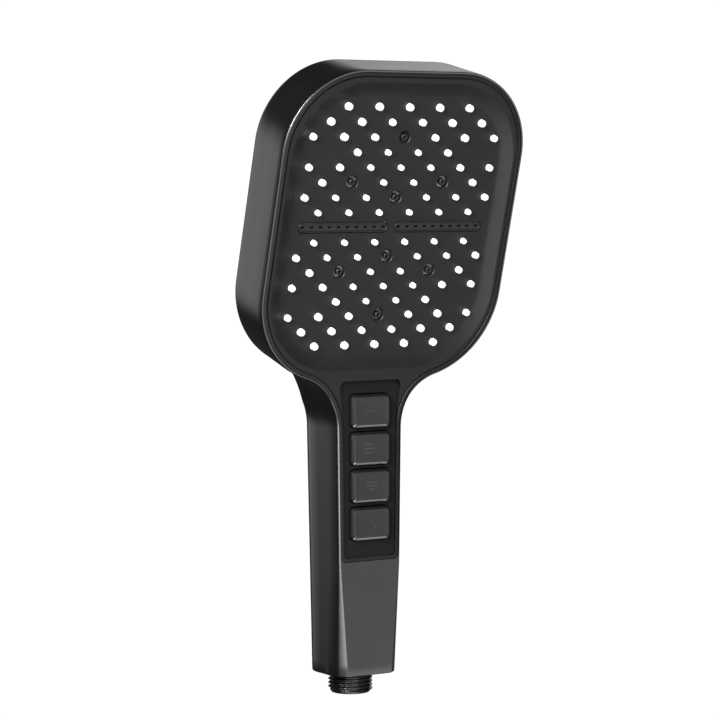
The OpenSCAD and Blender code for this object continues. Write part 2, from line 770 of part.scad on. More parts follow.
module inlet_nipple() {
    crest = 0.25;
    band = 0.9;
    lead = 0.8;
    ridges = floor((nipple_len - band - lead - crest) / thread_pitch);
    collar_r = 13.5;
    collar_t = 3;
    color("#1b1b1d") difference() {
        union() {
            rotate_extrude($fn = 96) polygon(concat(
                [[0, 0], [thread_r, 0], [thread_r, -band], [thread_root_r, -band - 0.4]],
                [for (k = [0:ridges - 1]) let (z = -band - 0.4 - thread_pitch * (k + 0.5)) each [
                    [thread_root_r, z + 0.7], [thread_r, z + crest], [thread_r, z - crest],
                    [thread_root_r, z - 0.7]]],
                [[thread_root_r, -nipple_len + 0.3], [thread_root_r - 0.3, -nipple_len], [0, -nipple_len]]));
            cylinder(h = nipple_top, r = thread_r - 0.3);
            intersection() {
                translate([0, 0, bottom_wall]) cylinder(h = collar_t, r = collar_r);
                translate([-12, -13, bottom_wall]) cube([24, 26, collar_t]);
            }
        }
        translate([0, 0, -nipple_len - 1]) cylinder(h = seat_z + nipple_len + 1, r = inlet_r);
        translate([0, 0, seat_z - 1]) cylinder(h = 8, r = seat_r);
        translate([0, 0, seat_z]) cylinder(h = 20, r = stop_r);
        translate([0, 0, nipple_socket_z]) cylinder(h = 20, r = tube_r + run_gap);
    }
}

module inlet_screen() {
    color("#b8babd") difference() {
        translate([0, 0, seat_z + 0.1]) cylinder(h = 1.2, r = seat_r - seat_gap);
        for (i = [-3:3], j = [-3:3])
            if (i * i + j * j < 11)
                translate([i * 1.4, j * 1.4, seat_z - 1]) cylinder(h = 4, r = 0.4, $fn = 16);
    }
}

module flow_regulator() {
    color("#2f6f4f") difference() {
        translate([0, 0, seat_z + 1.5]) cylinder(h = 4, r = seat_r - seat_gap);
        translate([0, 0, seat_z]) cylinder(h = 8, r = 1);
        for (a = [0:60:300]) rotate(a) translate([3.2, 0, seat_z]) cylinder(h = 8, r = 0.7);
    }
}

rear_shell();
face_plate();
button_panel();
key(0);  // key_1
key(1);  // key_2
key(2);  // key_3
key(3);  // key_4
valve_stem(0);  // valve_stem_1
valve_stem(1);  // valve_stem_2
valve_stem(2);  // valve_stem_3
valve_stem(3);  // valve_stem_4
stem_seals(0);  // stem_seals_1
stem_seals(1);  // stem_seals_2
stem_seals(2);  // stem_seals_3
stem_seals(3);  // stem_seals_4
return_spring(0);  // return_spring_1
return_spring(1);  // return_spring_2
return_spring(2);  // return_spring_3
return_spring(3);  // return_spring_4
latch_plate();
latch_spring();
valve_cover();
valve_gasket();
valve_screws();
valve_block();
block_screws();
feed_duct();
duct_seals();
nozzle_mat();
jet_nozzles();
blade_insert(-1);  // blade_insert_left
blade_insert(1);  // blade_insert_right
distributor_plate();
chamber_gasket();
chamber_back();
chamber_screws();
water_tube();
tube_seals();
inlet_nipple();
flow_regulator();
inlet_screen();
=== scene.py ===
"""Handheld shower head: the visual model built round its CAD frame.

Sizes are in millimetres until a mesh is made. x runs across the head, s up along the front
surface from the bend between handle and head, and d back from that surface.
"""

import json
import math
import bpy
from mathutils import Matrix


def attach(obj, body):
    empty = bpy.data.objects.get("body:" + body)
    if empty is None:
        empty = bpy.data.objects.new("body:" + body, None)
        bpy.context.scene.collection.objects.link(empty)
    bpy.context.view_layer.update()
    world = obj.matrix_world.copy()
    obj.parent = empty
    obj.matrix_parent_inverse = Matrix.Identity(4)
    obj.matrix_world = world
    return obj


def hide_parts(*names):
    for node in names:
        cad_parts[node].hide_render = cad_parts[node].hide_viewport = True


bl_info = {
    "name": "Handheld shower head",
    "version": (1, 0, 0),
    "blender": (4, 5, 0),
    "location": "3D View > Sidebar > Shower head",
    "description": "Builds a handheld shower head with spray keys round its CAD frame",
    "category": "Add Mesh",
}

import bmesh
import bpy
from mathutils import Matrix, Vector
from mathutils.geometry import delaunay_2d_cdt

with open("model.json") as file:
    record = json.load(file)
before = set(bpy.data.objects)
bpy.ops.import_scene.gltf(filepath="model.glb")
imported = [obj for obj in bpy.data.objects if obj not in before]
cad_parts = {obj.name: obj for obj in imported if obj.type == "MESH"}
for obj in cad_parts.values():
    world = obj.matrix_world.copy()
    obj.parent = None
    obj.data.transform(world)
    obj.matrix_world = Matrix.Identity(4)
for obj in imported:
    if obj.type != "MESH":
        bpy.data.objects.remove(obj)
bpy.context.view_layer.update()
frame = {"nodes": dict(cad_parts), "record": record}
ROOT = "handset"


# ---- Sizes and colours a user would change ----


def length(name, default, description, low=0.01, high=400.0):
    return bpy.props.FloatProperty(
        name=name, default=default, min=low, max=high, description=description + ", mm"
    )


def colour(name, default, description):
    return bpy.props.FloatVectorProperty(
        name=name, default=default, size=3, min=0, max=1, subtype="COLOR", description=description
    )


class ShowerSizes(bpy.types.PropertyGroup):
    """Sizes shared by the pieces."""

    head_w: length("Head width", 131.2, "Width of the head at its rim")
    head_h: length("Head height", 147.6, "Height of the head at its rim")
    head_depth: length("Head depth", 29.8, "Thickness of the head")
    head_corner: length("Head corner, low", 42.5, "Radius of the rim's lower corners")
    head_corner_top: length("Head corner, top", 39.5, "Radius of the rim's upper corners")
    head_draft: length("Head draft", 1.4, "How much narrower each side is at the back")
    head_back: length("Back edge", 5.0, "Radius between the side wall and the back")
    tilt: bpy.props.FloatProperty(
        name="Tilt", default=math.radians(15.2), subtype="ANGLE", description="Forward tilt of the head"
    )
    neck_rise: length("Neck rise", 4.5, "Height of the head's lowest rim point above the bend")
    neck_r: length("Neck radius", 25.6, "Radius of the hollow between head and handle")
    bend_half: length("Bend length", 6.0, "Half the length of the bend")
    handle_len: length("Handle length", 134.0, "Length from the bottom face to the bend")
    handle_low: length("Handle width, low", 33.0, "Width at the bottom")
    handle_top: length("Handle width, top", 36.0, "Width at the neck")
    depth_low: length("Handle depth, low", 32.5, "Depth at the bottom")
    depth_top: length("Handle depth, top", 35.0, "Depth at the top")
    axis_back: length("Axis depth", 17.0, "Distance of the thread's axis behind the front")
    handle_back: length("Handle back edge", 11.0, "Radius of the handle's back edges")
    crown: length("Side crown", 0.25, "How far the sides curve in towards the front")
    edge: length("Front edge", 0.72, "Width of the bevelled front edge")
    edge_low: length("Front edge, low", 4.2, "Width of the bevel at the handle's bottom")
    rim: length("Rim", 1.0, "Width of the shell's edge beside the face plate")
    frame_w: length("Frame", 1.9, "Width of the face plate's band beside the panel")
    dish_depth: length("Dish depth", 2.6, "Depth of the dish")
    dish_border: length("Dish border", 4.9, "From the head's sides to the dish")
    dish_border_top: length("Dish border, top", 5.8, "From the head's top to the dish")
    dish_slope: length("Dish slope", 6.6, "Width of the sloping dish wall")
    tip_proud: length("Tip height", 2.0, "How far the tips stand out of the dish floor")
    jet_r: length("Jet radius", 3.3, "Radius of a jet insert")
    blade_len: length("Blade length", 48.8, "Length of a blade insert")
    blade_w: length("Blade width", 5.4, "Width of a blade insert")
    key_w: length("Key width", 21.4, "Width of a key")
    key_h: length("Key height", 15.2, "Height of a key")
    key_pitch: length("Key spacing", 17.55, "Distance between key centres")
    key_proud: length("Key height above front", 2.0, "How far a key stands out")
    panel_sunk: length("Panel depth", 0.6, "How far the panel lies below the front")


class ShowerColours(bpy.types.PropertyGroup):
    """Colours of the visible finishes."""

    shell: colour("Shell", (0.2, 0.2, 0.205), "Polished gunmetal shell")
    face: colour("Face plate", (0.0078, 0.0078, 0.008), "Satin black face plate")
    panel: colour("Panel", (0.007, 0.007, 0.0073), "Satin black key panel")
    key: colour("Keys", (0.0215, 0.0215, 0.0229), "Satin grey keys")
    silicone: colour("Silicone", (0.93, 0.93, 0.92), "White silicone tips")
    thread: colour("Thread", (0.11, 0.11, 0.115), "Black plated inlet thread")


def sizes():
    return bpy.context.scene.shower_sizes


def colours():
    return bpy.context.scene.shower_colours


# ---- The form that every piece follows ----

# In millimetres. Heights are along the front surface from the bend.
HEAD_BLEND = (-22, 28)  # where the handle's section turns into the head's
PLATE_BLEND = (-4, 10)  # where the plate's band widens, from the top of the neck
PANEL_FOOT, PANEL_HEAD = 79.0, 5.0  # reach of the key panel below and above the bend
PANEL_CORNER = 3.0
PANEL_FLARE = 1.9  # how much wider each side of the panel gets above the neck
TOP_KEY = 9.4  # from the bend down to the top key's centre
TIP_MARGIN = (4.7, 5.0)  # from the outer tips to the sides and the ends of the dish floor
MOUTH_CORNER = 4.0  # of the shell's opening at the panel's foot
BLADE_GAP = 3  # between the two blade inserts


def smooth(t):
    """0 below 0, 1 above 1, and an even curve between."""
    t = min(max(t, 0.0), 1.0)
    return t * t * (3 - 2 * t)


class Form:
    """Front surface and outline of the shower head, in millimetres."""

    def __init__(self, p):
        self.p = p
        self.front = -p.axis_back
        self.rho = 2 * p.bend_half / p.tilt
        self.half_w = p.head_w / 2
        self.top_s = p.neck_rise + p.head_h
        self.face_s = p.neck_rise + p.head_h / 2
        self.neck_x = p.handle_top / 2 + p.neck_r
        self.corner_x = self.half_w - p.head_corner
        self.corner_low = p.neck_rise + p.head_corner
        self.corner_high = self.top_s - p.head_corner_top
        reach = p.head_corner + p.neck_r
        self.neck_s = self.corner_low - math.sqrt(reach**2 - (self.neck_x - self.corner_x) ** 2)
        self.neck_turn = math.acos((self.neck_x - self.corner_x) / reach)
        # Width, height and corner radius of the dish at its border and at its floor.
        self.dish = (
            p.head_w - 2 * p.dish_border,
            p.head_h - 2 * p.dish_border_top,
            p.head_corner - p.dish_border,
        )
        self.floor = tuple(v - 2 * p.dish_slope for v in self.dish[:2]) + (self.dish[2] - p.dish_slope,)
        self.pitch_x = (self.floor[0] - 2 * TIP_MARGIN[0]) / 6
        self.pitch_s = (self.floor[1] - 2 * TIP_MARGIN[1]) / 16
        self.key_z = [p.handle_len - TOP_KEY - p.key_pitch * i for i in range(4)]
        self.panel_y = self.front + p.panel_sunk
        self.opening_s = -PANEL_FOOT - p.frame_w

    def bent(self, x, s, d):
        """The point at x, height s along the front surface and depth d behind it."""
        p = self.p
        u = min(max(s + p.bend_half, 0.0), 2 * p.bend_half)
        a = p.tilt * u / (2 * p.bend_half)
        below, above = min(s + p.bend_half, 0.0), max(s - p.bend_half, 0.0)
        y = self.front - self.rho * (1 - math.cos(a)) - above * math.sin(a) + d * math.cos(a)
        z = p.handle_len - p.bend_half + self.rho * math.sin(a)
        z = z + below + above * math.cos(a) + d * math.sin(a)
        return (x, y, z)

    def on_face(self, x, v, d):
        """The point at x, v above the spray face's centre and depth d behind the rim."""
        return self.bent(x, self.face_s + v, d)

    def half(self, s):
        """Half the handle's width at height s."""
        p = self.p
        share = (s + p.handle_len) / (self.neck_s + p.handle_len)
        return p.handle_low / 2 + (p.handle_top - p.handle_low) / 2 * share

    def loop(self, s0, corner=0.0):
        """Closed outline from height s0 up and back: (x, s, normal x, normal s)."""
        p = self.p
        along_handle, along_head, turn = 20, 12, 28
        right = []
        if corner:
            for k in range(7):
                a = math.radians(15 * k - 90)
                right.append(arc_point(self.half(s0) - corner, s0 + corner, corner, a))
        else:
            right.append((self.half(s0), s0, 1.0, 0.0))
        low = s0 + corner
        for k in range(1, along_handle):
            s = low + (self.neck_s - low) * k / along_handle
            right.append((self.half(s), s, 1.0, 0.0))
        for k in range(turn + 1):
            x, s, nx, ns = arc_point(-self.neck_x, self.neck_s, p.neck_r, self.neck_turn * k / turn)
            right.append((-x, s, nx, -ns))
        for k in range(1, turn + 1):
            a = -self.neck_turn * (1 - k / turn)
            right.append(arc_point(self.corner_x, self.corner_low, p.head_corner, a))
        for k in range(1, along_head):
            s = self.corner_low + (self.corner_high - self.corner_low) * k / along_head
            right.append((self.half_w, s, 1.0, 0.0))
        for k in range(turn + 1):
            x, a = self.half_w - p.head_corner_top, math.pi / 2 * k / turn
            right.append(arc_point(x, self.corner_high, p.head_corner_top, a))
        return right + [(-x, s, -nx, ns) for x, s, nx, ns in reversed(right)]

    def share(self, s):
        """0 on the handle, 1 on the head."""
        return smooth((s - HEAD_BLEND[0]) / (HEAD_BLEND[1] - HEAD_BLEND[0]))

    def plate_share(self, s):
        """0 on the plate's narrow band beside the panel, 1 on the head's border."""
        return smooth((s - self.neck_s - PLATE_BLEND[0]) / (PLATE_BLEND[1] - PLATE_BLEND[0]))

    def depth(self, s):
        """Thickness of the casing at height s."""
        p, m = self.p, self.share(s)
        h = min(max(s + p.handle_len, 0.0) / p.handle_len, 1.0)
        return p.head_depth * m + (p.depth_low + (p.depth_top - p.depth_low) * h) * (1 - m)

    def back_corner(self, s, a):
        """Inset and depth of the shell's back corner at turn a."""
        p, m = self.p, self.share(s)
        depth, r = self.depth(s), p.head_back * m + p.handle_back * (1 - m)
        lean = p.head_draft * m * (depth - r) / depth
        return lean + r * (1 - math.cos(a)), depth - r + r * math.sin(a)

    def side_crown(self, s):
        """How far the side curves in at its front edge."""
        return self.p.crown * (1 - 0.5 * self.share(s))

    def front_edge(self, s):
        """Width of the bevelled edge: finest on the head, widest at the handle's bottom."""
        p = self.p
        low = min(max((self.opening_s - s) / (p.handle_len + self.opening_s), 0.0), 1.0)
        return p.edge * (1 - 0.7 * self.share(s)) + (p.edge_low - p.edge) * low

    def tips(self):
        """(x, v, radius) of every silicone tip about the face's centre."""
        large, medium, small = 1.75, 1.6, 1.35
        rows = [
            (8, [(0, large), (1, large), (2, large)]),
            (7, [(0.5, medium), (1.5, large), (2.5, large)]),
            (6, [(1, medium), (2, large), (3, medium)]),
            (5, [(0.5, small), (1.5, medium)]),
            (4, [(0, small), (1, small), (2, medium), (3, medium)]),
            (3, [(0.5, small), (2.5, medium)]),
            (2, [(1, small), (2, small), (3, medium)]),
            (1, [(0.5, small), (1.5, small), (2.5, small)]),
        ]
        found = []
        for row, places in rows:
            for k, r in places:
                for side in (1,) if k == 0 else (-1, 1):
                    for up in (-1, 1):
                        found.append((side * k * self.pitch_x, up * row * self.pitch_s, r))
        return found

    def jets(self):
        """(x, v) of every jet insert about the face's centre, set among the tips."""
        spots = [(0, 6), (0, 2), (-1.5, 3), (1.5, 3)]
        return [(kx * self.pitch_x, up * ks * self.pitch_s) for up in (-1, 1) for kx, ks in spots]

    def blade(self, side, e):
        """Outline of the left (-1) or right (1) blade insert, moved inwards by e."""
        p = self.p
        w, h = p.blade_len - 2 * e, p.blade_w - 2 * e
        return rounded(w, h, h / 2 - 0.01, side * (p.blade_len + BLADE_GAP) / 2, 0)

    def panel(self, grow):
        """Outline of the key panel as (x, z) points."""
        p = self.p
        top, low = p.handle_len + PANEL_HEAD + grow, p.handle_len - PANEL_FOOT - grow
        neck = p.handle_len + self.neck_s
        mid = self.half(self.neck_s) - p.rim - p.frame_w + grow
        foot = self.half(-PANEL_FOOT) - p.rim - p.frame_w + grow
        head = mid + PANEL_FLARE
        r, right = PANEL_CORNER, []
        for k in range(9):
            a = math.radians(-90 + 90 * k / 8)
            right.append((foot - r + r * math.cos(a), low + r + r * math.sin(a)))
        for k in range(1, 8):
            t = k / 8
            right.append((foot + (mid - foot) * t, low + r + (neck - low - r) * t))
        for k in range(8):
            t = k / 8
            right.append((mid + (head - mid) * t * t, neck + (top - r - neck) * t))
        for k in range(9):
            a = math.radians(90 * k / 8)
            right.append((head - r + r * math.cos(a), top - r + r * math.sin(a)))
        return right + [(-x, z) for x, z in reversed(right)]


def arc_point(cx, cy, r, a):
    """A point on an arc at turn a, with its outward direction."""
    return (cx + r * math.cos(a), cy + r * math.sin(a), math.cos(a), math.sin(a))


def inset(q, e):
    """A point of an outline moved inwards by e."""
    return q[0] - q[2] * e, q[1] - q[3] * e


def rounded(w, h, r, cx=0.0, cy=0.0, steps=10):
    """Rounded rectangle about a centre, anticlockwise."""
    points = []
    for qx, qy, a0 in ((1, -1, -90), (1, 1, 0), (-1, 1, 90), (-1, -1, 180)):
        for k in range(steps + 1):
            a = math.radians(a0 + 90 * k / steps)
            x, y = cx + qx * (w / 2 - r), cy + qy * (h / 2 - r)
            points.append((x + r * math.cos(a), y + r * math.sin(a)))
    return points


def circle(r, cx=0.0, cy=0.0, steps=28):
    turns = [2 * math.pi * k / steps for k in range(steps)]
    return [(cx + r * math.cos(a), cy + r * math.sin(a)) for a in turns]


# ---- Mesh helpers ----

WELD = 2e-6  # points nearer than this become one, in metres


class Net:
    """Collects vertices in millimetres and faces, then becomes a mesh."""

    def __init__(self):
        self.verts, self.faces, self.marks = [], [], []

    def ring(self, points):
        first = len(self.verts)
        self.verts += [tuple(p) for p in points]
        return list(range(first, len(self.verts)))

    def face(self, ids, mark=0):
        self.faces.append(tuple(ids))
        self.marks.append(mark)

    def join(self, a, b, mark=0, closed=True):
        """Quads between two rings of the same length."""
        n = len(a)
        for i in range(n if closed else n - 1):
            j = (i + 1) % n
            self.face((a[i], a[j], b[j], b[i]), mark)

    def fill(self, outer, holes, place, mark=0, extra=()):
        """Flat region in two coordinates between outer and holes, put in space by place.

        Returns the vertex numbers of each boundary, outer first."""
        flat, edges, bounds = [], [], []
        for line in (outer, *holes):
            first = len(flat)
            flat += [Vector(q) for q in line]
            ids = list(range(first, len(flat)))
            bounds.append(ids)
            edges += [(ids[i], ids[(i + 1) % len(ids)]) for i in range(len(ids))]
        flat += [Vector(q) for q in extra]
        # 1 keeps only triangles inside the edges, and points nearer than 1e-5 mm are one.
        out, _, tris, origin, _, _ = delaunay_2d_cdt(flat, edges, [], 1, 1e-5, True)
        new = self.ring([place(q.x, q.y) for q in out])
        where = {}
        for i, sources in enumerate(origin):
            for o in sources:
                where[o] = new[i]
        for t in tris:
            cx = sum(out[i].x for i in t) / 3
            cy = sum(out[i].y for i in t) / 3
            if not any(inside(cx, cy, h) for h in holes) and inside(cx, cy, outer):
                self.face([new[i] for i in t], mark)
        return [[where[i] for i in ids] for ids in bounds]

    def mesh(self, name, sharp=32.0):
        """The mesh in metres, welded and smooth but for edges over sharp degrees."""
        me = bpy.data.meshes.new(name)
        me.from_pydata([(x / 1000, y / 1000, z / 1000) for x, y, z in self.verts], [], self.faces)
        me.polygons.foreach_set("material_index", self.marks)
        bm = bmesh.new()
        bm.from_mesh(me)
        bmesh.ops.remove_doubles(bm, verts=bm.verts, dist=WELD)
        bmesh.ops.dissolve_degenerate(bm, edges=bm.edges, dist=1e-7)
        loose = [v for v in bm.verts if not v.link_faces]
        bmesh.ops.delete(bm, geom=loose, context="VERTS")
        bmesh.ops.recalc_face_normals(bm, faces=bm.faces)
        bm.to_mesh(me)
        bm.free()
        return smoothed(me, sharp)


def smoothed(me, sharp):
    me.shade_smooth()
    me.set_sharp_from_angle(angle=math.radians(sharp))
    return me


def inside(x, y, line):
    """Whether a point lies inside a closed line, by the edges that it crosses."""
    hit, j = False, len(line) - 1
    for i in range(len(line)):
        (xi, yi), (xj, yj) = line[i], line[j]
        if (yi > y) != (yj > y) and x < (xj - xi) * (y - yi) / (yj - yi) + xi:
            hit = not hit
        j = i
    return hit


def face_out(me, towards):
    """Turns an open mesh so that its faces look mostly towards a direction."""
    total = sum((p.normal * p.area for p in me.polygons), Vector())
    if total.dot(Vector(towards)) < 0:
        me.flip_normals()


def add_piece(me, materials, body=ROOT, replaces=()):
    """Puts a mesh in the scene as a piece with its materials under its body, and hides the CAD parts that it
    replaces.
    """
    piece = bpy.data.objects.new(me.name, me)
    bpy.context.scene.collection.objects.link(piece)
    marks = [q.material_index for q in me.polygons]
    me.materials.clear()
    for m in materials:
        me.materials.append(m)
    me.polygons.foreach_set("material_index", marks)
    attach(piece, body)
    if replaces:
        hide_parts(*replaces)


# ---- Shader groups ----

GRAIN_HEIGHT = 0.00002  # of the fine bump, in metres
CLOUD_ROUGHNESS = 0.06  # how much the clouds change the roughness


def group(name, inputs, outputs):
    """An empty shader node group with named sockets, or None if it is there already."""
    if name in bpy.data.node_groups:
        return None
    g = bpy.data.node_groups.new(name, "ShaderNodeTree")
    for label, kind, default in inputs:
        s = g.interface.new_socket(label, in_out="INPUT", socket_type=kind)
        if default is not None:
            s.default_value = default
    for label, kind in outputs:
        g.interface.new_socket(label, in_out="OUTPUT", socket_type=kind)
    return g


def feed(tree, inputs, values):
    """Links or sets each input in turn, and skips it where the value is None."""
    for socket, value in zip(inputs, values):
        if isinstance(value, bpy.types.NodeSocket):
            tree.links.new(value, socket)
        elif value is not None:
            socket.default_value = value


def maths(tree, operation, a, b=None, c=None):
    n = tree.nodes.new("ShaderNodeMath")
    n.operation = operation
    feed(tree, n.inputs, (a, b, c))
    return n.outputs[0]


def remap(tree, value, low, high, to_low, to_high):
    n = tree.nodes.new("ShaderNodeMapRange")
    n.interpolation_type = "SMOOTHSTEP"
    feed(tree, n.inputs, (value, low, high, to_low, to_high))
    return n.outputs[0]


def noise(tree, vector, scale, detail=2.0, rough=0.5):
    n = tree.nodes.new("ShaderNodeTexNoise")
    names = ("Vector", "Scale", "Detail", "Roughness")
    feed(tree, [n.inputs[name] for name in names], (vector, scale, detail, rough))
    return n.outputs["Fac"]


def surface_group():
    """Moulded or plated surface: faint cloudiness, fine grain and handling marks.

    Cloud and Smudge are values about 0.5 and 0; Grain is a height for a bump."""
    g = group(
        "Moulded surface",
        [
            ("Vector", "NodeSocketVector", None),
            ("Grain scale", "NodeSocketFloat", 2500.0),
            ("Cloud scale", "NodeSocketFloat", 60.0),
        ],
        [("Cloud", "NodeSocketFloat"), ("Grain", "NodeSocketFloat"), ("Smudge", "NodeSocketFloat")],
    )
    if g is None:
        return bpy.data.node_groups["Moulded surface"]
    start, end = g.nodes.new("NodeGroupInput"), g.nodes.new("NodeGroupOutput")
    v = start.outputs["Vector"]
    g.links.new(noise(g, v, start.outputs["Cloud scale"], 3.0), end.inputs["Cloud"])
    g.links.new(noise(g, v, start.outputs["Grain scale"], 2.0), end.inputs["Grain"])
    smear = noise(g, v, 38.0, 4.0, 0.62)
    g.links.new(remap(g, smear, 0.52, 0.75, 0.0, 1.0), end.inputs["Smudge"])
    return g


def finish_material(
    name, base, rough, metallic=0.0, cloud=0.12, grain=0.25, smudge=0.06, specular=0.5
):
    """A moulded, plated or rubber finish with its own small variation.

    cloud is the share by which the colour varies, grain the strength of the fine bump, and smudge how
    much rougher the handling marks are."""
    m = bpy.data.materials.new(name)
    m.use_nodes = True
    t = m.node_tree
    shader = t.nodes["Principled BSDF"]
    shader.inputs["Metallic"].default_value = metallic
    shader.inputs["Specular IOR Level"].default_value = specular
    coords = t.nodes.new("ShaderNodeTexCoord")
    surf = t.nodes.new("ShaderNodeGroup")
    surf.node_tree = surface_group()
    t.links.new(coords.outputs["Object"], surf.inputs["Vector"])
    mix = t.nodes.new("ShaderNodeMix")
    mix.data_type = "RGBA"
    mix.inputs["A"].default_value = (*[c * (1 - cloud) for c in base], 1)
    mix.inputs["B"].default_value = (*[min(c * (1 + cloud), 1) for c in base], 1)
    t.links.new(surf.outputs["Cloud"], mix.inputs["Factor"])
    t.links.new(mix.outputs["Result"], shader.inputs["Base Color"])
    r = maths(t, "MULTIPLY_ADD", surf.outputs["Smudge"], smudge, rough)
    r = maths(t, "MULTIPLY_ADD", surf.outputs["Cloud"], CLOUD_ROUGHNESS, r)
    t.links.new(r, shader.inputs["Roughness"])
    b = t.nodes.new("ShaderNodeBump")
    b.inputs["Strength"].default_value = grain
    b.inputs["Distance"].default_value = GRAIN_HEIGHT
    t.links.new(surf.outputs["Grain"], b.inputs["Height"])
    t.links.new(b.outputs["Normal"], shader.inputs["Normal"])
    return m


def made(name, **values):
    """The material of that name, made the first time it is asked for."""
    return bpy.data.materials.get(name) or finish_material(name, **values)


# A base given as a word is one of the colours that a user can change.
FINISHES = {
    "Gunmetal shell": dict(base="shell", rough=0.2, metallic=1.0, cloud=0.04, grain=0.12, smudge=0.03),
    "Satin face plate": dict(base="face", rough=0.46, cloud=0.1, grain=0.3, smudge=0.05, specular=0.38),
    "Satin panel": dict(base="panel", rough=0.4, cloud=0.1, grain=0.35, smudge=0.04, specular=0.22),
    "White silicone": dict(base="silicone", rough=0.5, cloud=0.02, grain=0.2, smudge=0.05),
    "Plated thread": dict(base="thread", rough=0.24, metallic=1.0, cloud=0.06, grain=0.1),
    # The bright polished key edge is a painted highlight, put only on the keys' bottom edges.
    "Polished key edge": dict(base=(0.45, 0.45, 0.46), rough=0.22, metallic=1.0, cloud=0.04, grain=0.1),
    # The near-black key side is painted shade on the keys' side walls and on every chamfer but the bottom
    # one.
    "Key side": dict(base=(0.006, 0.006, 0.006), rough=0.4, cloud=0.1, grain=0.2, specular=0.2),
    "Black jet plastic": dict(base=(0.014, 0.014, 0.0145), rough=0.42, cloud=0.08, grain=0.2, specular=0.35),
    "Black blade plastic": dict(base=(0.012, 0.012, 0.0125), rough=0.33, cloud=0.08, grain=0.25),
    # Near-black painted shade in holes and gaps: their walls and bottoms.
    "Deep gap": dict(base=(0.003, 0.003, 0.003), rough=0.6, cloud=0.1, specular=0.2),
}


def finish(name):
    values = dict(FINISHES[name])
    if isinstance(values["base"], str):
        values["base"] = getattr(colours(), values["base"])
    return made(name, **values)


def silicone_finish():
    m = finish("White silicone")
    shader = m.node_tree.nodes["Principled BSDF"]
    shader.inputs["Subsurface Weight"].default_value = 0.1
    shader.inputs["Subsurface Scale"].default_value = 0.001
    return m


# ---- Operators, one for each piece or group of like pieces ----


class PieceOperator:
    """What every operator here shares."""

    bl_options = {"REGISTER", "UNDO"}


class SHOWER_OT_shell(PieceOperator, bpy.types.Operator):
    """Makes the plated shell: its polished front edge, walls and back"""

    bl_idname = "shower.shell"
    bl_label = "Shell"

    def execute(self, context):
        f = Form(sizes())
        crown_on_handle, crown_on_head = 7.0, 3.0  # how far back the side curves
        wall, sharp, foot_edge = 3.2, 28, 0.0007
        net = Net()
        line = f.loop(-f.p.handle_len)
        # Each ring holds (inset, depth) for every point of the outline: bevel, crown, wall, back.
        rings = []
        for e, d in ((1, 0), (0.22, 0.6), (0.12, 0.72), (0.04, 0.86), (0, 1)):
            edges = [f.front_edge(q[1]) for q in line]
            rings.append([(v * e + f.side_crown(q[1]), v * d) for q, v in zip(line, edges)])
        for k in range(1, 6):
            t, ring = k / 5, []
            for q in line:
                reach = crown_on_handle - (crown_on_handle - crown_on_head) * f.share(q[1])
                ring.append((f.side_crown(q[1]) * (1 - t) ** 2, f.front_edge(q[1]) + reach * t))
            rings.append(ring)
        for part in (0.5, 0.75):
            rings.append([tuple(part * v for v in f.back_corner(q[1], 0)) for q in line])
        for k in range(9):
            rings.append([f.back_corner(q[1], math.pi / 2 * k / 8) for q in line])
        placed = [net.ring([f.bent(*inset(q, e), d) for q, (e, d) in zip(line, ring)]) for ring in rings]
        for a, b in zip(placed, placed[1:]):
            net.join(a, b, closed=False)
        back, n = placed[-1], len(line)
        for j in range(n // 2 - 1):
            net.face((back[j], back[j + 1], back[n - 2 - j], back[n - 1 - j]))
        net.face([r[0] for r in placed] + [r[-1] for r in reversed(placed)])
        outer = [inset(q, e) for q, (e, _) in zip(line, rings[0])]
        inner = [inset(q, f.p.rim) for q in f.loop(f.opening_s, MOUTH_CORNER)]
        extra = []
        for k in range(1, 12):
            s = -f.p.handle_len + (f.p.handle_len + f.opening_s) * k / 12
            extra += [(f.half(s) * t, s) for t in (-0.5, 0, 0.5)]
        bounds = net.fill(outer, [inner], lambda x, s: f.bent(x, s, 0), extra=extra)
        net.join(bounds[1], net.ring([f.bent(x, s, wall) for x, s in inner]))
        me = net.mesh("shell_skin", sharp)
        bm = bmesh.new()
        bm.from_mesh(me)
        low = [e for e in bm.edges if all(abs(v.co.z) < 1e-6 for v in e.verts) and len(e.link_faces) == 2]
        bmesh.ops.bevel(bm, geom=low, offset=foot_edge, segments=3, profile=0.5, affect="EDGES")
        bm.to_mesh(me)
        bm.free()
        add_piece(smoothed(me, sharp), [finish("Gunmetal shell")], replaces=["rear_shell"])
        return {"FINISHED"}


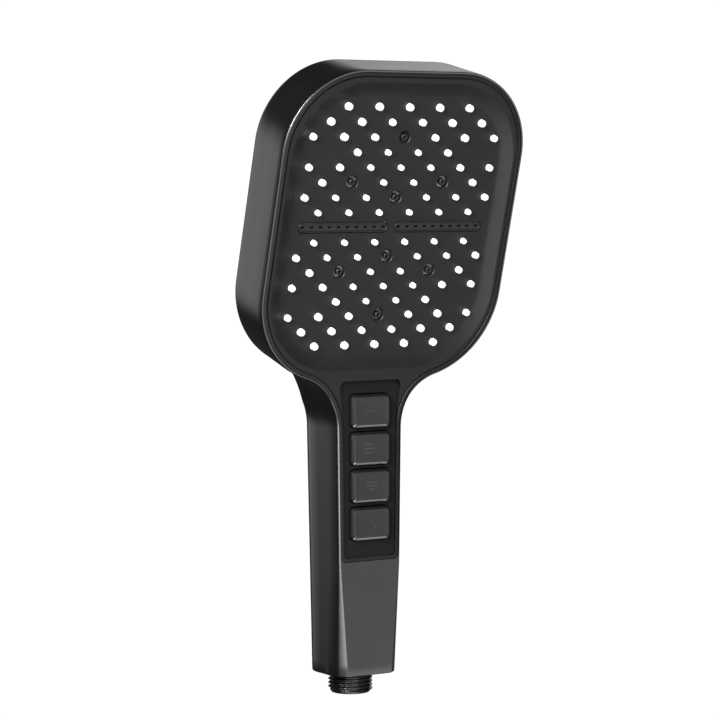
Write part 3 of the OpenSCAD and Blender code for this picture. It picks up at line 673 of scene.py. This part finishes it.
class SHOWER_OT_face(PieceOperator, bpy.types.Operator):
    """Makes the face plate: border bands, groove, dish and the holes for the nozzles"""

    bl_idname = "shower.face"
    bl_label = "Face plate"

    def execute(self, context):
        f = Form(sizes())
        p = f.p
        net = Net()
        line = f.loop(f.opening_s, MOUTH_CORNER)
        corner = 28  # points round each corner of the dish
        # (inset, depth) of the band's edge, and of the groove inside it, which only the head has.
        band = [(1.22, 2.4), (1.22, 0.4), (1.32, 0.08), (1.55, 0.0), (2.7, 0.0)]
        handle = band + [(2.76, 0.0), (2.8, 0.0), (2.84, 0.0), (2.88, 0.0)]
        head = band + [(2.82, 0.15), (2.92, 0.95), (3.38, 0.95), (3.5, 0.08)]
        lip = head[-1][1]

        def between(a, b, q):
            return a + (b - a) * f.plate_share(q[1])

        last = None
        for a, b in zip(handle, head):
            ring = net.ring([f.bent(*inset(q, between(a[0], b[0], q)), between(a[1], b[1], q)) for q in line])
            if last:
                net.join(last, ring)
            last = ring
        border = [inset(q, between(handle[-1][0], head[-1][0], q)) for q in line]
        dish = [(x, f.face_s + v) for x, v in rounded(*f.dish, steps=corner)]
        window = [(x, z - p.handle_len) for x, z in f.panel(-0.14)]
        extra = []
        for k in range(12):
            s = -7 + 13 * k / 11
            extra += [(x, s) for x in range(-27, 28, 3) if not inside(x, s, window) and inside(x, s, border)]

        def on_plate(x, s):
            return f.bent(x, s, lip * f.plate_share(s))

        bounds = net.fill(border, [dish, window], on_plate, extra=extra)
        deep = net.ring([(x, f.panel_y + 1.4, f.bent(0, s, 0)[2]) for x, s in window])
        net.join(bounds[2], deep, 1)
        last = bounds[1]
        for t in (0.02, 0.05, 0.12, 0.24, 0.38, 0.52, 0.66, 0.8, 0.9, 1.0):
            e = p.dish_slope * t
            d = lip + (p.dish_depth - lip) * (1 - (1 - t) ** 1.4)
            outline = rounded(f.dish[0] - 2 * e, f.dish[1] - 2 * e, f.dish[2] - e, steps=corner)
            ring = net.ring([f.on_face(x, v, d) for x, v in outline])
            net.join(last, ring)
            last = ring
        small = [circle(r + 0.22, x, v) for x, v, r in f.tips()]
        wide = [circle(p.jet_r + 0.05, x, v, 36) for x, v in f.jets()]
        wide += [f.blade(side, 0) for side in (-1, 1)]
        floor = rounded(*f.floor, steps=corner)
        bounds = net.fill(floor, small + wide, lambda x, v: f.on_face(x, v, p.dish_depth))
        # The bottoms, and the small holes' walls, are painted shade: a near-black finish for the dark gap
        # behind the tips.
        kinds = [(hole, 0.9, 1) for hole in small] + [(hole, 2.0, 0) for hole in wide]
        for ids, (hole, depth, mark) in zip(bounds[1:], kinds):
            deep = net.ring([f.on_face(x, v, p.dish_depth + depth) for x, v in hole])
            net.join(ids, deep, mark)
            net.face(deep, 1)
        me = net.mesh("face_plate_skin", sharp=26)
        face_out(me, (0, -1, 0))
        add_piece(me, [finish("Satin face plate"), finish("Deep gap")], replaces=["face_plate"])
        return {"FINISHED"}


class SHOWER_OT_panel(PieceOperator, bpy.types.Operator):
    """Makes the key panel with its four windows"""

    bl_idname = "shower.panel"
    bl_label = "Key panel"

    def execute(self, context):
        f = Form(sizes())
        p, y = f.p, f.panel_y
        net = Net()
        gap, chamfer, window_depth = 0.35, 0.25, 3.4
        rim, high = (net.ring([(x, y + d, z) for x, z in f.panel(-0.2)]) for d in (1.3, 0.3))
        net.join(rim, high)

        def window(z, grow):
            w, h = p.key_w + 2 * gap + 2 * grow, p.key_h + 2 * gap + 2 * grow
            return rounded(w, h, 2.55 + grow, 0, z, steps=8)

        windows = [window(z, chamfer) for z in f.key_z]
        bounds = net.fill(f.panel(-0.5), windows, lambda x, z: (x, y, z))
        net.join(high, bounds[0])
        # The windows' walls and bottoms take the near-black finish as painted shade in the gap round each
        # key.
        for ids, z in zip(bounds[1:], f.key_z):
            last = ids
            for d, mark in ((chamfer, 0), (window_depth, 1)):
                ring = net.ring([(a, y + d, b) for a, b in window(z, 0)])
                net.join(last, ring, mark)
                last = ring
            net.face(last, 1)
        me = net.mesh("key_panel_skin", sharp=30)
        face_out(me, (0, -1, 0))
        add_piece(me, [finish("Satin panel"), finish("Deep gap")], replaces=["button_panel"])
        return {"FINISHED"}


# Printed strokes of each key: across and up from its middle, half width, half height.
MARKS = {
    1: [(0.0, 0.0, 2.2, 0.12)],
    2: [(-1.9, 2.0, 2.6, 0.2), (-1.2, 0.0, 3.3, 0.2), (-1.9, -2.0, 2.6, 0.2)],
    3: [(0.0, 1.6, 3.6, 0.18), (0.0, 0.0, 2.6, 0.18), (0.0, -1.6, 1.6, 0.18)],
    4: [(1.6, -2.2, 0.5, 0.5)],
}


def key_finish(number, z):
    """Satin grey key face with faint printed strokes at its middle."""
    name = "Key face %d" % number
    if name in bpy.data.materials:
        return bpy.data.materials[name]
    m = finish_material(name, colours().key, 0.38, cloud=0.1, grain=0.35, smudge=0.08)
    t = m.node_tree
    shader = t.nodes["Principled BSDF"]
    under = shader.inputs["Base Color"].links[0].from_socket
    coords = next(n for n in t.nodes if n.type == "TEX_COORD")
    split = t.nodes.new("ShaderNodeSeparateXYZ")
    t.links.new(coords.outputs["Object"], split.inputs[0])
    mask = None
    for mx, mz, hw, hh in MARKS[number]:
        across = maths(t, "ABSOLUTE", maths(t, "SUBTRACT", split.outputs["X"], mx / 1000))
        along = maths(t, "ABSOLUTE", maths(t, "SUBTRACT", split.outputs["Z"], (z + mz) / 1000))
        a = remap(t, across, (hw - 0.12) / 1000, (hw + 0.12) / 1000, 1.0, 0.0)
        b = remap(t, along, (hh - 0.08) / 1000, (hh + 0.12) / 1000, 1.0, 0.0)
        stroke = maths(t, "MULTIPLY", a, b)
        mask = stroke if mask is None else maths(t, "MAXIMUM", mask, stroke)
    mix = t.nodes.new("ShaderNodeMix")
    mix.data_type = "RGBA"
    t.links.new(maths(t, "MULTIPLY", mask, 0.17), mix.inputs["Factor"])
    t.links.new(under, mix.inputs["A"])
    mix.inputs["B"].default_value = (0.16, 0.16, 0.165, 1)
    t.links.new(mix.outputs["Result"], shader.inputs["Base Color"])
    return m


class SHOWER_OT_keys(PieceOperator, bpy.types.Operator):
    """Makes the four push keys, with a painted highlight on their bottom edges and painted shade on their
    other edges and sides
    """

    bl_idname = "shower.keys"
    bl_label = "Keys"

    def execute(self, context):
        f = Form(sizes())
        p = f.p
        top = f.front - p.key_proud
        edge, side = finish("Polished key edge"), finish("Key side")
        # Material slots: the key face, the bright polished bottom edge (a painted highlight), and the
        # near-black finish on the other edges and sides (painted shade).
        face, polished, dark = 0, 1, 2
        # (inset, depth behind the key's top, corner radius): skirt, chamfer, then the hollow face.
        profile = [(e, d, 2.3 - e * 0.6) for e, d in
                   ((0.0, 3.2), (0.0, 1.05), (0.04, 0.92), (1.05, 0.14), (1.2, 0.04), (1.4, 0.0))]
        hollow, middle, reach = 0.22, 7.2, 5.8
        for e in (1.8, 2.4, 3.2, 4.4, 5.6, 6.8):
            d = hollow * (1 - ((middle - e) / reach) ** 2)
            profile.append((e, d, max(1.46 - (e - 1.4) * 0.2, 0.4)))
        for number, z in enumerate(f.key_z, 1):
            net = Net()
            rings = []
            for e, d, r in profile:
                outline = rounded(p.key_w - 2 * e, p.key_h - 2 * e, r, 0, z, steps=8)
                rings.append(net.ring([(a, top + d, b) for a, b in outline]))
            # The skirt and the chamfer take the near-black side finish as painted shade; the key face takes
            # its own.
            for k, (a, b) in enumerate(zip(rings, rings[1:])):
                net.join(a, b, dark if k <= 2 else face)
            # The chamfer's run along the bottom ends and begins each ring of faces; it takes the bright
            # polished finish as a painted highlight.
            around = len(rings[0])
            for k in (*range(2 * around, 2 * around + 4), *range(3 * around - 5, 3 * around)):
                net.marks[k] = polished
            net.face(rings[-1])
            me = net.mesh("key_cap_%d" % number, sharp=24)
            face_out(me, (0, -1, 0))
            finishes = [key_finish(number, z), edge, side]
            add_piece(me, finishes, "key_%d_body" % number, ["key_%d" % number])
        return {"FINISHED"}


# ---- Repeated pieces by Geometry Nodes ----


def copies_tree(name):
    """One template copied to every point, turned by Tilt, its width scaled by the attribute size."""
    g = bpy.data.node_groups.new(name, "GeometryNodeTree")
    for label, kind, way in (
        ("Points", "NodeSocketGeometry", "INPUT"),
        ("Template", "NodeSocketObject", "INPUT"),
        ("Tilt", "NodeSocketVector", "INPUT"),
        ("Finish", "NodeSocketMaterial", "INPUT"),
        ("Geometry", "NodeSocketGeometry", "OUTPUT"),
    ):
        g.interface.new_socket(label, in_out=way, socket_type=kind)
    start, end = g.nodes.new("NodeGroupInput"), g.nodes.new("NodeGroupOutput")
    info = g.nodes.new("GeometryNodeObjectInfo")
    size = g.nodes.new("GeometryNodeInputNamedAttribute")
    size.data_type = "FLOAT"
    size.inputs["Name"].default_value = "size"
    scale = g.nodes.new("ShaderNodeCombineXYZ")
    scale.inputs["Y"].default_value = 1.0
    turn = g.nodes.new("FunctionNodeEulerToRotation")
    place = g.nodes.new("GeometryNodeInstanceOnPoints")
    real = g.nodes.new("GeometryNodeRealizeInstances")
    paint = g.nodes.new("GeometryNodeSetMaterial")
    link = g.links.new
    link(start.outputs["Points"], place.inputs["Points"])
    link(start.outputs["Template"], info.inputs["Object"])
    link(info.outputs["Geometry"], place.inputs["Instance"])
    link(start.outputs["Tilt"], turn.inputs[0])
    link(turn.outputs[0], place.inputs["Rotation"])
    link(size.outputs["Attribute"], scale.inputs["X"])
    link(size.outputs["Attribute"], scale.inputs["Z"])
    link(scale.outputs[0], place.inputs["Scale"])
    link(place.outputs["Instances"], real.inputs["Geometry"])
    link(real.outputs["Geometry"], paint.inputs["Geometry"])
    link(start.outputs["Finish"], paint.inputs["Material"])
    link(paint.outputs["Geometry"], end.inputs["Geometry"])
    return g


def copies(name, template, points, tilt, material, replaces):
    """Copies the template mesh to (x, y, z, size) points in millimetres and makes one plain piece."""
    holder = bpy.data.meshes.new(name + "_points")
    holder.from_pydata([(x / 1000, y / 1000, z / 1000) for x, y, z, _ in points], [], [])
    holder.attributes.new("size", "FLOAT", "POINT").data.foreach_set("value", [q[3] for q in points])
    source = bpy.data.objects.new(name + "_template", template)
    carrier = bpy.data.objects.new(name + "_carrier", holder)
    for o in (source, carrier):
        bpy.context.scene.collection.objects.link(o)
    m = carrier.modifiers.new("Copies", "NODES")
    tree = copies_tree(name + " copies")
    m.node_group = tree
    ids = {i.name: i.identifier for i in tree.interface.items_tree if i.in_out == "INPUT"}
    m[ids["Template"]] = source
    m[ids["Tilt"]] = (tilt, 0.0, 0.0)
    m[ids["Finish"]] = material
    graph = bpy.context.evaluated_depsgraph_get()
    graph.update()
    me = bpy.data.meshes.new_from_object(carrier.evaluated_get(graph))
    me.name = name
    carrier.modifiers.remove(m)
    bpy.data.objects.remove(carrier)
    bpy.data.objects.remove(source)
    if not me.polygons:
        raise RuntimeError(name + ": the copies came out empty")
    add_piece(smoothed(me, 35), [material], replaces=replaces)


def turned(name, profile, steps=24):
    """A mesh turned about Y from (radius, y) pairs, closed where the last radius is 0."""
    net = Net()
    rings = []
    for r, y in profile:
        if r <= 1e-6:
            rings.append(net.ring([(0, y, 0)]))
        else:
            rings.append(net.ring([(a, y, b) for a, b in circle(r, steps=steps)]))
    for a, b in zip(rings, rings[1:]):
        if len(b) == 1:
            for i in range(steps):
                net.face((a[i], a[(i + 1) % steps], b[0]))
        else:
            net.join(a, b)
    return net.mesh(name, sharp=40)


class SHOWER_OT_tips(PieceOperator, bpy.types.Operator):
    """Makes the white silicone tips of the nozzle mat"""

    bl_idname = "shower.tips"
    bl_label = "Silicone tips"

    def execute(self, context):
        f = Form(sizes())
        p = f.p
        h = p.tip_proud
        tip = turned(
            "tip",
            [
                (1.06, 1.6), (1.04, -0.1), (0.96, -h + 0.6), (0.93, -h + 0.32), (0.85, -h + 0.13),
                (0.72, -h + 0.02), (0.6, -h), (0.28, -h), (0.23, -h + 0.06), (0.21, -h + 0.5),
                (0.0, -h + 0.5),
            ],
        )
        points = [(*f.on_face(x, v, p.dish_depth), r) for x, v, r in f.tips()]
        copies("nozzle_tips", tip, points, p.tilt, silicone_finish(), ["nozzle_mat"])
        net = Net()
        behind_floor, thickness = 2.0, 1.5
        near = p.dish_depth + behind_floor
        front, back = (
            net.ring([f.on_face(x, v, d) for x, v in rounded(*f.floor)]) for d in (near, near + thickness)
        )
        net.join(front, back)
        net.face(front)
        net.face(back)
        add_piece(net.mesh("nozzle_mat_sheet"), [silicone_finish()])
        return {"FINISHED"}


class SHOWER_OT_jets(PieceOperator, bpy.types.Operator):
    """Makes the eight round jet inserts"""

    bl_idname = "shower.jets"
    bl_label = "Jet inserts"

    def execute(self, context):
        f = Form(sizes())
        p = f.p
        r = p.jet_r
        jet = turned(
            "jet",
            [
                (r, 3.0), (r, 0.05), (r - 0.1, 0.0), (r - 0.25, 0.15), (2.6, 2.0), (1.8, 2.0),
                (1.7, 0.25), (1.5, 0.02), (0.8, 0.0), (0.7, 0.15), (0.65, 1.4), (0.0, 1.4),
            ],
            steps=32,
        )
        points = [(*f.on_face(x, v, p.dish_depth), 1.0) for x, v in f.jets()]
        copies("jet_inserts", jet, points, p.tilt, finish("Black jet plastic"), ["jet_nozzles"])
        return {"FINISHED"}


class SHOWER_OT_blades(PieceOperator, bpy.types.Operator):
    """Makes the two blade inserts with their rows of holes"""

    bl_idname = "shower.blades"
    bl_label = "Blade inserts"

    def execute(self, context):
        f = Form(sizes())
        p = f.p
        lip = [(0.4, 2.0), (0.4, 0.1), (0.5, 0.0), (0.75, 0.0), (0.9, 0.12), (1.05, 0.7)]
        low, hole_depth, count = lip[-1][1], 1.8, 10
        step = (p.blade_len - p.blade_w) / (count - 1)
        for side, label in ((-1, "left"), (1, "right")):
            cx = side * (p.blade_len + BLADE_GAP) / 2
            net = Net()
            last = None
            for e, d in lip:
                ring = net.ring([f.on_face(x, v, p.dish_depth + d) for x, v in f.blade(side, e)])
                if last:
                    net.join(last, ring)
                last = ring
            places = [cx + (k - (count - 1) / 2) * step for k in range(count)]
            holes = [rounded(2.0, 1.0, 0.49, x, 0, steps=6) for x in places]
            floor = f.blade(side, lip[-1][0])
            bounds = net.fill(floor, holes, lambda x, v: f.on_face(x, v, p.dish_depth + low))
            # The holes' walls and bottoms take the near-black finish as painted shade.
            for ids, hole in zip(bounds[1:], holes):
                deep = net.ring([f.on_face(x, v, p.dish_depth + hole_depth) for x, v in hole])
                net.join(ids, deep, 1)
                net.face(deep, 1)
            me = net.mesh("blade_" + label, sharp=30)
            face_out(me, (0, -1, 0))
            finishes = [finish("Black blade plastic"), finish("Deep gap")]
            add_piece(me, finishes, replaces=["blade_insert_" + label])
        return {"FINISHED"}


class SHOWER_OT_inlet(PieceOperator, bpy.types.Operator):
    """Makes the threaded inlet with a true helix"""

    bl_idname = "shower.inlet"
    bl_label = "Inlet thread"

    def execute(self, context):
        crest, root, pitch, end, bore = 10.4775, 9.3155, 1.814, 10.0, 6.4
        collar, tail = 0.9, 0.5  # plain lengths above and below the thread
        around, rows = 120, 132
        net = Net()
        rings = []

        def radius(angle, z):
            """The thread's flat-topped ridge, which fades in and out at its two ends."""
            t = (-z / pitch + angle / (2 * math.pi)) % 1.0
            ridge = min(max((0.5 - abs(t - 0.5)) * 2 * 1.35 - 0.17, 0.0), 1.0)
            fade = smooth((-z - collar) / 0.9) * (1 - smooth((-z - end + 1.5) / 0.7))
            return root + (crest - root) * ridge * fade

        turns = [2 * math.pi * i / around for i in range(around)]
        for k in range(rows + 1):
            z = -collar - (end - collar - tail) * k / rows
            round_z = [(radius(a, z), a) for a in turns]
            rings.append(net.ring([(r * math.cos(a), r * math.sin(a), z) for r, a in round_z]))
        for a, b in zip(rings, rings[1:]):
            net.join(a, b)

        def turn(profile, last=None):
            for r, z in profile:
                ring = net.ring([(x, y, z) for x, y in circle(r, steps=around)])
                if last:
                    net.join(last, ring)
                last = ring

        turn([(crest - 0.3, 2.0), (crest, 0.15), (crest, -0.6), (crest - 0.15, -0.75), (root, -collar)])
        mouth = [
            (root - 0.1, -end + 0.3), (root - 0.35, -end + 0.06), (root - 0.6, -end),
            (bore + 0.3, -end), (bore + 0.05, -end + 0.08), (bore, -end + 0.3),
            (bore, -6.02), (bore - 0.4, -6.0), (bore - 0.4, -5.8),
        ]
        turn(mouth, rings[-1])
        me = net.mesh("inlet_thread", sharp=40)
        add_piece(me, [finish("Plated thread")], replaces=["inlet_nipple"])
        return {"FINISHED"}


CORE_FINISHES = {
    "core_plastic": dict(base=(0.72, 0.72, 0.69), rough=0.45, cloud=0.05),
    "cover_plastic": dict(base=(0.05, 0.05, 0.052), rough=0.5, cloud=0.15, grain=0.5),
    "stem": dict(base=(0.6, 0.6, 0.57), rough=0.35, cloud=0.05),
    "seal": dict(base=(0.02, 0.02, 0.02), rough=0.55, cloud=0.15),
    "steel": dict(base=(0.55, 0.56, 0.57), rough=0.28, metallic=1.0, cloud=0.06),
    "regulator": dict(base=(0.03, 0.16, 0.08), rough=0.4, cloud=0.08),
    "silicone": dict(base=(0.9, 0.9, 0.89), rough=0.5, cloud=0.03),
    "jet": dict(base=(0.012, 0.012, 0.013), rough=0.3, cloud=0.08),
    "key": dict(base=(0.05, 0.05, 0.053), rough=0.4, cloud=0.1),
    "panel": dict(base=(0.014, 0.014, 0.015), rough=0.4, cloud=0.1),
    "thread": dict(base=(0.06, 0.06, 0.06), rough=0.2, metallic=1.0, cloud=0.06),
    "gloss_shell": dict(base=(0.2, 0.2, 0.205), rough=0.2, metallic=1.0, cloud=0.04),
    "matte_face": dict(base=(0.026, 0.026, 0.0265), rough=0.42, cloud=0.1),
}


class SHOWER_OT_core(PieceOperator, bpy.types.Operator):
    """Gives every inner part its finish"""

    bl_idname = "shower.core"
    bl_label = "Inner parts"

    def execute(self, context):
        wanted = {s["node"]: s["material_slot"] for s in frame["record"]["subparts"]}
        for name, piece in frame["nodes"].items():
            core = made("Core " + wanted[name].replace("_", " "), **CORE_FINISHES[wanted[name]])
            if not piece.data.materials:
                piece.data.materials.append(core)
            for i in range(len(piece.data.materials)):
                piece.data.materials[i] = core
        return {"FINISHED"}


# ---- Stage ----

MIDDLE = Vector((0.0, -0.03, 0.17))
CAMERA_AT = (-0.70531, -1.09744, 0.23263)
CAMERA_AHEAD = (0.54247, 0.83753, -0.06529)
CAMERA_UP = (0.03566, 0.05469, 0.99787)
LENS, SENSOR = 138.92, 36.0
FLOOR_Z, FLOOR_HALF = -0.45, 3
WORLD_LIGHT = 0.03  # away from every panel


def glow(name, strength):
    """A plain white surface that gives light and takes none."""
    m = bpy.data.materials.new(name)
    m.use_nodes = True
    t = m.node_tree
    t.nodes.clear()
    out, lamp = t.nodes.new("ShaderNodeOutputMaterial"), t.nodes.new("ShaderNodeEmission")
    lamp.inputs["Strength"].default_value = strength
    lamp.inputs["Color"].default_value = (1, 1, 1, 1)
    t.links.new(lamp.outputs[0], out.inputs["Surface"])
    return m


def soft_light(name, towards, distance, size, power):
    """A square lamp in a direction from the middle of the handset, looking at it."""
    data = bpy.data.lights.new(name, "AREA")
    data.shape = "RECTANGLE"
    data.size = data.size_y = size
    data.energy = power
    lamp = bpy.data.objects.new(name, data)
    bpy.context.scene.collection.objects.link(lamp)
    way = Vector(towards).normalized()
    lamp.location = MIDDLE + way * distance
    lamp.rotation_mode = "QUATERNION"
    lamp.rotation_quaternion = way.to_track_quat("Z", "Y")


# Soft panels round the handset: direction, inner and outer angle in degrees, brightness.
PANELS = [
    ((-0.33, 0.94, 0.05), 3, 20, 0.56),
    ((0.72, 0.58, 0.38), 10, 23, 0.75),
    ((0.68, -0.7, -0.2), 10, 34, 0.32),
    ((-0.67, -0.73, -0.12), 5, 12, 3.3),
    ((-0.14, -0.84, -0.52), 14, 30, 3.3),
    ((0.5, -0.65, -0.57), 8, 24, 0.42),
    ((-0.64, -0.6, -0.47), 5, 12, 0.12),
    ((0.542, -0.17, -0.82), 4, 10, 0.7),
    ((1.0, 0.1, -0.1), 8, 32, 0.12),
    ((0.0, 0.93, 0.35), 5, 17, 0.22),
]


def studio_world():
    """A dark studio with soft panels, painted by direction."""
    world = bpy.data.worlds.new("Studio")
    world.use_nodes = True
    t = world.node_tree
    ground = t.nodes["Background"]
    ground.inputs["Color"].default_value = (1, 1, 1, 1)
    coords = t.nodes.new("ShaderNodeTexCoord")
    total = None
    for way, inner, outer, level in PANELS:
        near, far = (math.cos(math.radians(angle)) for angle in (inner, outer))
        dot = t.nodes.new("ShaderNodeVectorMath")
        dot.operation = "DOT_PRODUCT"
        t.links.new(coords.outputs["Generated"], dot.inputs[0])
        dot.inputs[1].default_value = Vector(way).normalized()
        lit = remap(t, dot.outputs["Value"], far, near, 0.0, level)
        total = lit if total is None else maths(t, "ADD", total, lit)
    t.links.new(maths(t, "ADD", total, WORLD_LIGHT), ground.inputs["Strength"])
    return world


class SHOWER_OT_stage(PieceOperator, bpy.types.Operator):
    """Makes the pale floor, the backdrop, the lamps and the camera"""

    bl_idname = "shower.stage"
    bl_label = "Stage"

    def execute(self, context):
        scene = context.scene
        scene.view_settings.view_transform = "Standard"
        scene.world = studio_world()
        bm = bmesh.new()
        bmesh.ops.create_uvsphere(bm, u_segments=48, v_segments=24, radius=7.0)
        bmesh.ops.reverse_faces(bm, faces=bm.faces)
        me = bpy.data.meshes.new("backdrop")
        bm.to_mesh(me)
        bm.free()
        me.materials.append(glow("White backdrop", 1.05))
        dome = bpy.data.objects.new("backdrop", me)
        me = bpy.data.meshes.new("floor")
        h, z = FLOOR_HALF, FLOOR_Z
        me.from_pydata([(-h, -h, z), (h, -h, z), (h, h, z), (-h, h, z)], [], [(0, 1, 2, 3)])
        me.materials.append(glow("Pale floor", 1.02))
        floor = bpy.data.objects.new("floor", me)
        for o in (dome, floor):
            scene.collection.objects.link(o)
            o.visible_diffuse = o.visible_glossy = o.visible_shadow = o.visible_transmission = False
        soft_light("Key light", (-0.8, -0.4, 0.45), 1.3, 0.8, 58.0)
        data = bpy.data.cameras.new("Camera")
        data.lens, data.sensor_width = LENS, SENSOR
        camera = bpy.data.objects.new("Camera", data)
        scene.collection.objects.link(camera)
        ahead, up = Vector(CAMERA_AHEAD).normalized(), Vector(CAMERA_UP).normalized()
        turn = Matrix((ahead.cross(up), up, -ahead)).transposed().to_4x4()
        camera.matrix_world = Matrix.Translation(CAMERA_AT) @ turn
        data.clip_start, data.clip_end = 0.01, 50.0
        scene.camera = camera
        return {"FINISHED"}


# ---- Panel and registration ----

STEPS = [
    SHOWER_OT_core,
    SHOWER_OT_shell,
    SHOWER_OT_face,
    SHOWER_OT_panel,
    SHOWER_OT_keys,
    SHOWER_OT_tips,
    SHOWER_OT_jets,
    SHOWER_OT_blades,
    SHOWER_OT_inlet,
    SHOWER_OT_stage,
]


class SHOWER_PT_tools(bpy.types.Panel):
    """Lists the pieces in the order they are made"""

    bl_idname = "SHOWER_PT_tools"
    bl_label = "Shower head"
    bl_space_type = "VIEW_3D"
    bl_region_type = "UI"
    bl_category = "Shower head"

    def draw(self, context):
        for step in STEPS:
            self.layout.operator(step.bl_idname)
        for name in ShowerSizes.__annotations__:
            self.layout.prop(context.scene.shower_sizes, name)
        for name in ShowerColours.__annotations__:
            self.layout.prop(context.scene.shower_colours, name)


CLASSES = [ShowerSizes, ShowerColours, *STEPS, SHOWER_PT_tools]


def register():
    for c in CLASSES:
        bpy.utils.register_class(c)
    bpy.types.Scene.shower_sizes = bpy.props.PointerProperty(type=ShowerSizes)
    bpy.types.Scene.shower_colours = bpy.props.PointerProperty(type=ShowerColours)


def unregister():
    del bpy.types.Scene.shower_sizes
    del bpy.types.Scene.shower_colours
    for c in reversed(CLASSES):
        bpy.utils.unregister_class(c)


def main():
    register()
    for step in STEPS:
        family, name = step.bl_idname.split(".")
        getattr(getattr(bpy.ops, family), name)()


if __name__ == "__main__":
    main()
